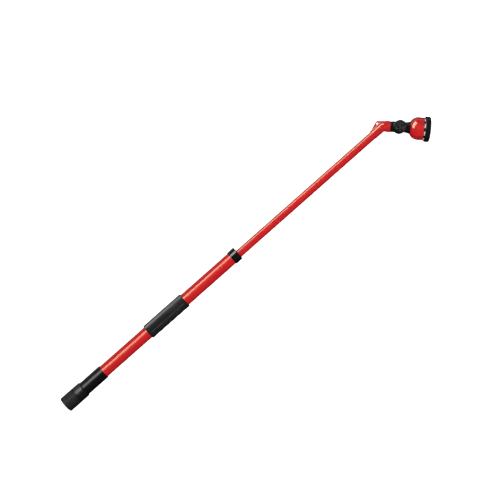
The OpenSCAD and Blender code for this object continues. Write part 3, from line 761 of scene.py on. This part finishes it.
def grip_surface(s):
    """Soft grip: a squarish oval with narrow flutes and finger waves on the side of the bend.

    The oval's radius is the power mean of the sine over its flatness and the cosine, to the power of
    minus one. It drops by flute_depth times a power of the cosine of flutes times the angle, and by
    wave_depth times 1 - cos of the place along the grip, both on the side that faces -Y.
    """
    low, high = corners("grip")
    x0, x1, r = low[0], high[0], high[2]
    tube_r = corners("outer_tube")[1][1]
    outline = rounded([(x0, tube_r + 0.03, 0.3), (x0, r, 2.2)]
                      + straight(x0 + 3.5, x0 + 9.5, r, 10) + straight(x0 + 11, x1 - 11, r, 48)
                      + straight(x1 - 9.5, x1 - 3.5, r, 10) + [(x1, r, 2.2), (x1, tube_r + 0.03, 0.3)])

    def shape(along, radius, turn):
        oval = (np.abs(np.cos(turn)) ** s.grip_square
                + np.abs(np.sin(turn) / s.grip_flat) ** s.grip_square) ** (-1 / s.grip_square)
        fade = smooth_step(along, x0 + 4.5, x0 + 8.5) * (1 - smooth_step(along, x1 - 8.5, x1 - 4.5))
        flute = (0.5 + 0.5 * np.cos(s.grip_flutes * turn)) ** 4
        place = (along - x0 - 8) / (x1 - x0 - 16)
        inner_side = smooth_step(-np.cos(turn), -0.1, 0.9)
        wave = 0.5 - 0.5 * np.cos(2 * np.pi * s.wave_count * place)
        fluted = smooth_step(-np.cos(turn), 0.05, 0.25)
        drop = fade * (s.flute_depth * flute * fluted + s.wave_depth * wave * inner_side)
        outer = smooth_step(radius, tube_r + 0.3, r - 0.4)
        return radius * (1 + outer * (oval - 1)) - drop * (radius > r - 0.1)

    return lathe(outline, WAND, s.grip_flutes * 20, shape)


def collar_surface(s):
    """Lock collar: a short band with well rounded edges and a stepped bore."""
    low, high = corners("lock_collar")
    x0, x1, r = low[0], high[0], high[1]
    return lathe(rounded([
        (x0, 14.4, 0.25), (x0, r, 1.4), (x1, r, 1.7), (x1, 13.12, 0.35), (x1 - 3.2, 13.12, 0),
        (x1 - 3.2, 14.62, 0), (x0 + 4.4, 14.62, 0), (x0 + 4.4, 15.22, 0), (x0 + 1.6, 15.22, 0),
        (x0 + 1.6, 14.4, 0)]), WAND)


# ---------------------------------------------------------------- elbow and pivot

def elbow_surface(s):
    """Elbow: the skin of a field, blended where its parts meet.

    The parts are a tube swept along the socket's axis, an arc and the outlet's axis, growing on the
    way, and a flat web whose outline is a polygon with a rounded edge. The waterway, the socket's
    bore, the clevis's bore and the hanging hole are taken out of them.
    """
    socket, outlet = INNER, bend_axes(s)
    corner = outlet.origin
    tangent = s.bend_radius * math.tan(s.bend / 2)
    centre = corner + np.array([-tangent, -s.bend_radius, 0])
    bore = corners("inner_tube")[1][2]

    def path(points):
        """Place along the centre line from the arc's start, and distance from that line."""
        flat = points - corner
        turn = np.arctan2(points[:, 0] - centre[0], points[:, 1] - centre[1])
        local = outlet.into(points)
        before, after = turn < 0, turn > s.bend
        place = np.where(before, flat[:, 0] + tangent,
                         np.where(after, local[:, 0] - tangent + s.bend * s.bend_radius,
                                  turn * s.bend_radius))
        ring = np.hypot(points[:, 0] - centre[0], points[:, 1] - centre[1]) - s.bend_radius
        sideways = np.where(before, flat[:, 1], np.where(after, local[:, 1], ring))
        return place, np.hypot(sideways, points[:, 2])

    def field(points):
        local = outlet.into(points)
        place, away = path(points)
        grown = smooth_step(place, -3.0, s.bend * s.bend_radius + 7.0)
        body = away - (s.socket_r + (s.outlet_r - s.socket_r) * grown)
        body = keep(body, s.socket_x - points[:, 0], 0.5)
        web_top = s.outlet_r - 0.3
        edge = polygon(local[:, 0], local[:, 1], [
            (s.outlet_end - 1, 0), (s.outlet_end - 1, web_top), (-13.4, web_top), (-15.2, web_top - 1.2),
            (-27.9, -11.5)])
        web = keep(edge, np.abs(points[:, 2]) - s.web_half, 1.2)
        solid = merge(body, web, 2.2)
        solid = keep(solid, local[:, 0] - s.outlet_end, 0.5)
        hole = np.hypot(local[:, 0] + 12.5, local[:, 1] - 6.3) - s.hang_r
        solid = cut(solid, hole, 0.6)
        wide = np.maximum(np.hypot(points[:, 1] - socket.origin[1], points[:, 2]) - bore - 0.02,
                          points[:, 0] - corners("inner_tube")[1][0])
        water = away - (bore - 1.0)
        spigot = np.maximum(np.hypot(local[:, 1], points[:, 2]) - 9.03, 4.0 - local[:, 0])
        return np.maximum(solid, -np.minimum(np.minimum(wide, water), spigot))

    low, high = corners("elbow")
    return skin(field, low - 1.5, high + 1.5, s.cell)


def clevis_surface(s):
    """Clevis: the skin of a field in the arm's axes.

    A round body flares into two flat arms that end in round ears, each with a raised rim round the
    hub and a flat face inside it. The gap for the drum, the seat of the clutch, the pin's hole and
    the waterway are taken out.
    """
    arm = arm_axes(s)
    rim_top, drum_gap, spigot_r, pin_r, stub_r, duct_r, water_r = 15.0, 14.9, 8.97, 4.1, 6.45, 5.5, 6.0

    def field(points):
        x, y, z = arm.into(points).T
        xb, yb = x + s.hub_reach, y + s.hub_shift
        away, from_hub = np.hypot(yb, z), np.hypot(x, y)
        level = np.maximum(z - s.ear_out, -z - s.foot_out)
        body = keep(away - s.clevis_r, np.maximum(s.outlet_end + 0.02 - xb, xb - 27.0), 0.6)
        arms = keep(rectangle(x, y, -20.6, 0, -10.8, 11.0), level, 1.2)
        arms = keep(arms, np.hypot(y, z) - s.ear_r, 1.2)
        ears = keep(from_hub - s.ear_r, level, 0.9)
        mid, half = (s.ear_r + s.rim_in) / 2, (s.ear_r - s.rim_in) / 2
        rims = keep(np.abs(from_hub - mid) - half, np.abs(z) - rim_top, 0.6)
        rims = np.maximum(rims, 9.0 - np.abs(z))
        pocket = np.maximum(from_hub - s.rim_in, s.ear_out - z)
        shell = np.maximum(merge(merge(body, arms, 2.0), ears, 1.5), -pocket)
        shell = merge(shell, rims, 0.4)
        spigot = np.maximum(away - spigot_r, np.abs(xb - 10.6) - 6.4)
        groove = np.maximum(7.8 - away, np.abs(xb - 8.8) - 0.8)
        shell = np.minimum(shell, np.maximum(spigot, -groove))
        shell = cut(shell, np.maximum(from_hub - drum_gap, np.abs(z) - s.ear_in), 0.4)
        seat = np.maximum(from_hub - (17.5 - z), np.maximum(8.0 - z, z - 10.5))
        pin = np.maximum(from_hub - pin_r, 1.0 - z)
        stub = np.maximum(from_hub - stub_r, np.maximum(z, -9.9 - z))
        channel = np.minimum(rectangle(x, y, -19.4, 0, -duct_r, duct_r), from_hub - duct_r)
        channel = np.maximum(channel, np.abs(z + 11.05) - 1.15)
        riser = np.maximum(rectangle(x, y, -19.4, -16.4, -4, 4), np.abs(z + 6) - 6)
        water = np.maximum(away - water_r, xb - 22.0)
        return np.maximum(shell, -np.min([seat, pin, stub, channel, riser, water], axis=0))

    low, high = corners("clevis")
    return skin(field, low - 1.5, high + 1.5, s.cell)


def neck_surface(s):
    """Nozzle neck: the skin of a field in the head's axes.

    A flat drum on the pivot's axis and a round neck that flares to the bell. The neck is cut away
    above and below the drum, where the ears turn. The flange for the core and the stub for the lower
    ear are added, and the clutch's pocket and the waterway are taken out.
    """
    flange_r, stub_r, pocket_r, chamber_r, duct_r = 12.6, 6.4, 10.75, 9.0, 5.0

    def field(points):
        x, y, z = HEAD.into(points).T
        away, from_hub = np.hypot(y, z), np.hypot(x, y)
        flare = s.neck_r + 0.55 * smooth_step(x, 10.0, 16.0) + 2.0 * smooth_step(x, 13.5, s.neck_end + 2.5)
        neck = keep(away - flare, np.maximum(-x, x - s.neck_end), 0.3)
        neck = cut(neck, np.maximum(from_hub - s.ear_r - 0.4, s.drum_half - np.abs(z)), 0.5)
        drum = keep(from_hub - s.drum_r, np.abs(z) - s.drum_half, 0.6)
        flange = np.maximum(away - flange_r, np.abs(x - 23.3) - 1.7)
        stub = np.maximum(from_hub - stub_r, np.abs(z + 8.4) - 1.4)
        solid = np.min([merge(drum, neck, 0.3), flange, stub], axis=0)
        pocket = np.maximum(from_hub - pocket_r, 1.2 - z)
        chamber = np.maximum(from_hub - chamber_r, np.abs(z + 2.8) - 2.8)
        drop = np.maximum(from_hub - duct_r, z + 2.0)
        ring = np.maximum(np.abs(from_hub - 7.8) - 0.9, z + 6.7)
        duct = np.maximum(np.hypot(y, z + 3.2) - duct_r, -x)
        return np.maximum(solid, -np.min([pocket, chamber, drop, ring, duct], axis=0))

    low, high = corners("nozzle_neck")
    return skin(field, low - 1.5, high + 1.5, s.cell)


def knurled_disc(s, outline, top):
    """A disc about the pivot's axis whose top, away from its edge, is a field of small pyramids.

    The height loses knurl_depth times what the lower of two triangle waves lacks of its flattened
    peak. The waves cross at right angles, and the loss fades out near the edge.
    """
    points, faces = capped_lathe(outline, WAND, 264)
    x, y, z = points[:, 1], points[:, 2], points[:, 0]
    across = math.sqrt(2) * s.knurl_pitch
    wave = [1 - np.abs(2 * np.mod((x + sign * y) / across, 1) - 1) for sign in (-1, 1)]
    bead = np.clip(1.7 * np.minimum(*wave), 0, 1)
    fade = 1 - smooth_step(np.hypot(x, y), 10.6, 11.3)
    z = z + (z > top - s.knurl_reach) * fade * (bead - 1) * s.knurl_depth
    return np.stack([x, y, z], axis=-1), faces


def button_surface(s):
    """Pivot button: a knurled cap domed by a parabola, on a stem, with a groove below for its spring."""
    face_r, under, roof, stem_r, stem_end = 11.4, 14.0, 15.2, 3.9, 10.55
    rows = [(s.button_top - s.button_crown * (r / face_r) ** 2, r, 0) for r in np.linspace(0, face_r, 62)]
    outline = rounded(rows + [(15.0, 12.4, 0.8), (under, 12.4, 0.3), (under, 9.2, 0), (roof, 9.2, 0),
                              (roof, 6.8, 0), (under, 6.8, 0), (under, stem_r, 0), (stem_end, stem_r, 0.3),
                              (stem_end, 0, 0)])
    points, faces = knurled_disc(s, outline, s.button_top)
    return points + HUB_AT, faces


def plate_surface(s):
    """Hub plate: the same knurl on a fixed plate in the lower rim."""
    face_r = 11.6
    rows = [(s.plate_top - s.plate_crown * (r / face_r) ** 2, r, 0) for r in np.linspace(0, face_r, 62)]
    outline = rounded(rows + [(14.6, 12.6, 0.5), (s.foot_out, 12.6, 0), (s.foot_out, 0, 0)])
    points, faces = knurled_disc(s, outline, s.plate_top)
    return points * (1, 1, -1) + HUB_AT, faces


# ---------------------------------------------------------------- head

def bell_surface(s):
    """Bell: a dome that is a circular arc carried round the head's axis, then a nearly straight skirt."""
    wall = 2.2

    def dome(radius, start, count):
        """The arc from start to where the bell is widest."""
        middle = s.bell_r - s.bell_arc
        first = math.acos((s.bell_wide - start) / radius)
        return [(s.bell_wide - radius * math.cos(t), middle + radius * math.sin(t), 0)
                for t in np.linspace(first, math.pi / 2, count)]

    outside = dome(s.bell_arc, s.neck_end, 40)
    inside = dome(s.bell_arc - wall, 25.0, 20)[::-1]
    outline = rounded([(s.neck_end, 12.75, 0.1)] + outside + [
        (s.bell_front - 8.0, s.bell_r, 3.0), (s.bell_front, s.bell_r - 0.4, 0.55),
        (s.bell_front, 23.25, 0.3), (45.0, 23.25, 0), (45.0, s.bell_r - wall, 0)]
        + inside + [(25.0, 12.75, 0)])
    return lathe(outline, HEAD, 224)


def rim_surface(s):
    """Dial rim: a fat bumper ring that hooks over the front of the dial's wall."""
    return lathe(rounded([
        (s.lip_back, s.rim_wall + 0.02, 0.2), (s.lip_back, s.lip_r, 1.6), (s.lip_front, s.lip_r, 3.4),
        (s.lip_front, s.face_r + 0.3, 0.35), (s.lip_front - s.rim_hook, s.face_r + 0.3, 0),
        (s.lip_front - s.rim_hook, s.rim_wall + 0.02, 0)], 10), HEAD, 240)


def pads_surface(s):
    """Index pads: each is a rounded block bent around the dial's band.

    A block is a superellipsoid: the fourth root, with its sign kept, of the sines and cosines of a
    sphere's two angles.
    """
    columns, rows = 48, 23
    around = np.linspace(0, 2 * np.pi, columns, endpoint=False)
    up = np.linspace(-np.pi / 2, np.pi / 2, rows + 2)[1:-1]

    def root(value):
        return np.sign(value) * np.abs(value) ** 0.25

    u = np.append(np.outer(root(np.cos(up)), root(np.cos(around))), [0, 0])
    v = np.append(np.outer(root(np.cos(up)), root(np.sin(around))), [0, 0])
    w = np.append(np.repeat(root(np.sin(up)), columns), [-1, 1])
    index = np.arange(rows * columns).reshape(rows, columns)
    beside = np.roll(index, -1, axis=1)
    walls = np.stack([index[:-1], beside[:-1], beside[1:], index[1:]], axis=-1).reshape(-1, 4)
    first, last = index.size, index.size + 1
    caps = [np.stack([np.full(columns, first), beside[0], index[0]], axis=-1),
            np.stack([np.full(columns, last), index[-1], beside[-1]], axis=-1)]
    parts = []
    for i in range(s.patterns):
        turn = s.pad_start + s.pad_width / 2 * (1 + u) + i * 2 * np.pi / s.patterns
        r = s.band_r + s.pad_lift + s.pad_thick * w
        x = s.pad_x + s.pad_half * v
        parts.append((HEAD.out(np.stack([x, r * np.cos(turn), r * np.sin(turn)], axis=-1)), [walls, *caps]))
    return joined(parts)


def cap_surface(s):
    """Screw cap: a small domed button with a rounded edge, plugged into the face plate."""
    front, face_r, back, plug_end = s.lip_front + 0.4, 4.4, 66.4, 65.2
    rows = [(front - 0.15 * (r / face_r) ** 2, r, 0) for r in np.linspace(0, face_r, 12)]
    outline = rounded(rows + [(front - 0.35, 5.6, 0.7), (back, 5.6, 0), (back, 4.35, 0),
                              (plug_end, 4.35, 0.2), (plug_end, 0, 0)])
    return capped_lathe(outline, HEAD, 96)


# ---------------------------------------------------------------- stage

def by_ray(tree, camera, diffuse, glossy):
    """A value that is one number to the camera, one to scattered light and one to reflections."""
    seen = tree.nodes.new("ShaderNodeLightPath")
    shares = [math_node(tree, "MULTIPLY", seen.outputs[f"Is {ray} Ray"], amount)
              for ray, amount in (("Camera", camera), ("Diffuse", diffuse), ("Glossy", glossy))]
    return math_node(tree, "ADD", math_node(tree, "ADD", shares[0], shares[1]), shares[2])


def make_floor(s, stage):
    """A pale floor under the coupling's end and the dial, which glows to the camera and so stays plain.

    In reflections it is dark, and glows only beyond the wand, which gives the tubes a bright rim.
    """
    nut_low = corners("swivel_nut")[0][2]
    rim_low, rim_high = corners("dial_rim")
    slope = math.atan((nut_low - rim_low[2]) / ((rim_low[0] + rim_high[0]) / 2))
    bpy.ops.mesh.primitive_plane_add(size=24)
    floor = bpy.context.object
    floor.name = "floor"
    floor.location = (0, 0, nut_low * MM)
    floor.rotation_euler = (0, slope, 0)
    material, tree, shader, place = finish_nodes("floor_paper", stage.floor, 0.9)
    shader.inputs["Specular IOR Level"].default_value = 0.0
    bump(tree, shader, noise(tree, place, 60, 3), 0.00005)
    tree.links.new(by_ray(tree, stage.floor[0], stage.floor_bounce, stage.floor_mirror),
                   shader.inputs["Base Color"])
    split = tree.nodes.new("ShaderNodeSeparateXYZ")
    tree.links.new(place, split.inputs["Vector"])
    beyond = between(tree, split.outputs["Y"], stage.rim_start * MM, stage.rim_full * MM, 0, stage.rim_glow)
    rim = math_node(tree, "MULTIPLY", beyond, by_ray(tree, 0, 0, 1))
    shader.inputs["Emission Color"].default_value = (1, 1, 1, 1)
    tree.links.new(math_node(tree, "ADD", rim, by_ray(tree, stage.floor_glow, 0, 0)),
                   shader.inputs["Emission Strength"])
    floor.data.materials.append(material)
    return floor


SIDE_LIT = ("fluted_grip", "stem_tube", "bent_socket", "fork", "hub_button", "hub_back", "neck", "bell_shell",
            "bumper", "pads", "cap", "dial_body", "face_plate")


def make_light(name, stage, x, tilt, twist, width, radiance, tint=(1, 1, 1)):
    """A rectangular area light of a given radiance, tilted about the wand towards +Y and then twisted."""
    light = bpy.data.lights.new(name, "AREA")
    light.shape = "RECTANGLE"
    light.size, light.size_y = stage.key_length * MM, width * MM
    light.energy = radiance * math.pi * light.size * light.size_y
    light.color = tint
    lamp = bpy.data.objects.new(name, light)
    reach = stage.key_distance * MM
    lamp.location = (x * MM, reach * math.sin(tilt), reach * math.cos(tilt))
    lamp.rotation_euler = (Matrix.Rotation(-tilt, 3, "X") @ Matrix.Rotation(twist, 3, "Z")).to_euler()
    lamp.visible_camera = False
    bpy.context.scene.collection.objects.link(lamp)
    return lamp


def share_lights(key, side):
    """The side light is for the grip and for everything that slides out; the key is for the rest."""
    pieces = {"key": bpy.data.collections.new("key_pieces"), "side": bpy.data.collections.new("side_pieces")}
    for item in bpy.data.objects:
        if item.type == "MESH":
            group = "side" if item.name in SIDE_LIT else "key"
            pieces[group].objects.link(item)
    key.light_linking.receiver_collection = pieces["key"]
    side.light_linking.receiver_collection = pieces["side"]


def make_world(stage):
    """Even surroundings: pale to the camera and dimmer to everything else."""
    scene = bpy.context.scene
    scene.world = scene.world or bpy.data.worlds.new("surroundings")
    scene.world.use_nodes = True
    tree = scene.world.node_tree
    back = tree.nodes["Background"]
    back.inputs["Color"].default_value = (1, 1, 1, 1)
    tree.links.new(by_ray(tree, 1.0, stage.soft_around, stage.around), back.inputs["Strength"])


def make_camera(stage):
    """A camera high above the wand, looking straight down."""
    camera = bpy.data.objects.new("camera", bpy.data.cameras.new("camera"))
    camera.data.lens = stage.camera_lens
    camera.data.sensor_width = 36
    camera.location = np.array([stage.camera_x, stage.camera_y, stage.camera_height]) * MM
    camera.rotation_euler = (0, 0, stage.camera_turn)
    camera.data.clip_end = 100
    bpy.context.scene.collection.objects.link(camera)
    bpy.context.scene.camera = camera


# ---------------------------------------------------------------- operators

class WandOperator(bpy.types.Operator):
    """What the wand's operators share."""

    bl_options = {"REGISTER", "UNDO"}

    @property
    def sizes(self):
        """The sizes of the wand."""
        return bpy.context.scene.wand_sizes


class WAND_OT_finishes(WandOperator):
    """Makes the finishes and puts them on the frame's own nodes"""

    bl_idname = "wand.finishes"
    bl_label = "Finishes"

    def execute(self, context):
        make_finishes(context.scene.wand_colours)
        return {"FINISHED"}


class WAND_OT_coupling(WandOperator):
    """Makes the swivel nut and the valve ring"""

    bl_idname = "wand.coupling"
    bl_label = "Coupling"

    def execute(self, context):
        add("coupling_nut", nut_surface(self.sizes), "coupling_nut", "nut_black", ["swivel_nut"])
        add("twist_ring", ring_surface(self.sizes), "valve", "gloss_black", ["valve_ring"], "ring_black")
        return {"FINISHED"}


class WAND_OT_handle(WandOperator):
    """Makes the handle's sleeve, tube, grip and lock collar"""

    bl_idname = "wand.handle"
    bl_label = "Handle"

    def execute(self, context):
        s = self.sizes
        add("sleeve", sleeve_surface(s), "handle", "gloss_black", ["handle_sleeve"], "sleeve_black")
        add("handle_tube", tube_surface("outer_tube", 1.2, WAND), "handle", "red_paint", ["outer_tube"])
        add("fluted_grip", grip_surface(s), "handle", "grip_foam", ["grip"])
        add("collar", collar_surface(s), "collar", "gloss_black", ["lock_collar"])
        return {"FINISHED"}


class WAND_OT_stem(WandOperator):
    """Makes the inner tube and the elbow"""

    bl_idname = "wand.stem"
    bl_label = "Stem"

    def execute(self, context):
        add("stem_tube", tube_surface("inner_tube", 1.0, INNER), "slider", "red_paint", ["inner_tube"])
        add("bent_socket", elbow_surface(self.sizes), "slider", "red_plastic", ["elbow"])
        return {"FINISHED"}


class WAND_OT_pivot(WandOperator):
    """Makes the clevis, the hub button, the hub plate, the neck and the pivot's two springs"""

    bl_idname = "wand.pivot"
    bl_label = "Pivot"

    def execute(self, context):
        s = self.sizes
        add("fork", clevis_surface(s), "slider", "gloss_black", ["clevis"])
        add("hub_button", button_surface(s), "button", "hub_grey", ["pivot_button"])
        add("hub_back", plate_surface(s), "slider", "hub_grey", ["hub_plate"])
        add("neck", neck_surface(s), "head", "gloss_black", ["nozzle_neck"])
        for name, node, axes, body, sliding in (
                ("press_spring", "button_spring", arm_axes(s), "slider", "button_press"),
                ("clutch_spring", "cone_spring", HEAD, "head", "clutch_slide")):
            spring = add(name, coil_surface(s, node, axes), body, "spring_steel", [node])
            flatten(spring)
        return {"FINISHED"}


class WAND_OT_head(WandOperator):
    """Makes the bell and the outside of the dial"""

    bl_idname = "wand.head"
    bl_label = "Head"

    def execute(self, context):
        s = self.sizes
        add("bell_shell", bell_surface(s), "head", "red_plastic", ["bell"])
        add("bumper", rim_surface(s), "dial", "black_plastic", ["dial_rim"])
        add("pads", pads_surface(s), "dial", "mark_grey", ["index_pads"])
        add("cap", cap_surface(s), "dial", "hub_grey", ["screw_cap"])
        return {"FINISHED"}


class WAND_OT_stage(WandOperator):
    """Makes the floor, the lights and the camera"""

    bl_idname = "wand.stage"
    bl_label = "Stage"

    def execute(self, context):
        stage = context.scene.wand_stage
        floor = make_floor(self.sizes, stage)
        key = make_light("key", stage, stage.key_x, stage.key_angle, stage.key_twist, stage.key_width,
                         stage.key_light, stage.key_tint)
        side = make_light("side", stage, stage.side_x, stage.side_angle, 0, stage.side_width,
                          stage.side_light)
        fill = make_light("fill", stage, stage.fill_x, stage.fill_angle, 0, stage.fill_width,
                          stage.fill_light)
        fill.visible_glossy = False
        key.visible_diffuse = side.visible_diffuse = False
        share_lights(key, side)
        make_world(stage)
        make_camera(stage)
        context.scene.view_settings.view_transform = "Standard"
        return {"FINISHED"}


class WAND_PT_panel(bpy.types.Panel):
    """The wand's buttons and sizes in the sidebar"""

    bl_label = "Watering Wand"
    bl_space_type = "VIEW_3D"
    bl_region_type = "UI"
    bl_category = "Wand"

    def draw(self, context):
        column = self.layout.column(align=True)
        for operator in OPERATORS:
            column.operator(operator.bl_idname)
        for group in (context.scene.wand_sizes, context.scene.wand_colours, context.scene.wand_stage):
            box = self.layout.box().column(align=True)
            for name in group.__annotations__:
                box.prop(group, name)


GROUPS = {"wand_sizes": WAND_PG_sizes, "wand_colours": WAND_PG_colours, "wand_stage": WAND_PG_stage}
OPERATORS = (WAND_OT_finishes, WAND_OT_coupling, WAND_OT_handle, WAND_OT_stem, WAND_OT_pivot, WAND_OT_head,
             WAND_OT_stage)


def register():
    """Registers the classes and hangs their groups on the scene."""
    for cls in (*GROUPS.values(), *OPERATORS, WAND_PT_panel):
        bpy.utils.register_class(cls)
    for name, group in GROUPS.items():
        setattr(bpy.types.Scene, name, PointerProperty(type=group))


def unregister():
    """Undoes register."""
    for name in GROUPS:
        delattr(bpy.types.Scene, name)
    for cls in reversed((*GROUPS.values(), *OPERATORS, WAND_PT_panel)):
        bpy.utils.unregister_class(cls)


def main():
    """Builds everything in order."""
    register()
    bpy.ops.wand.finishes()
    bpy.ops.wand.coupling()
    bpy.ops.wand.handle()
    bpy.ops.wand.stem()
    bpy.ops.wand.pivot()
    bpy.ops.wand.head()
    bpy.ops.wand.stage()


if __name__ == "__main__":
    main()
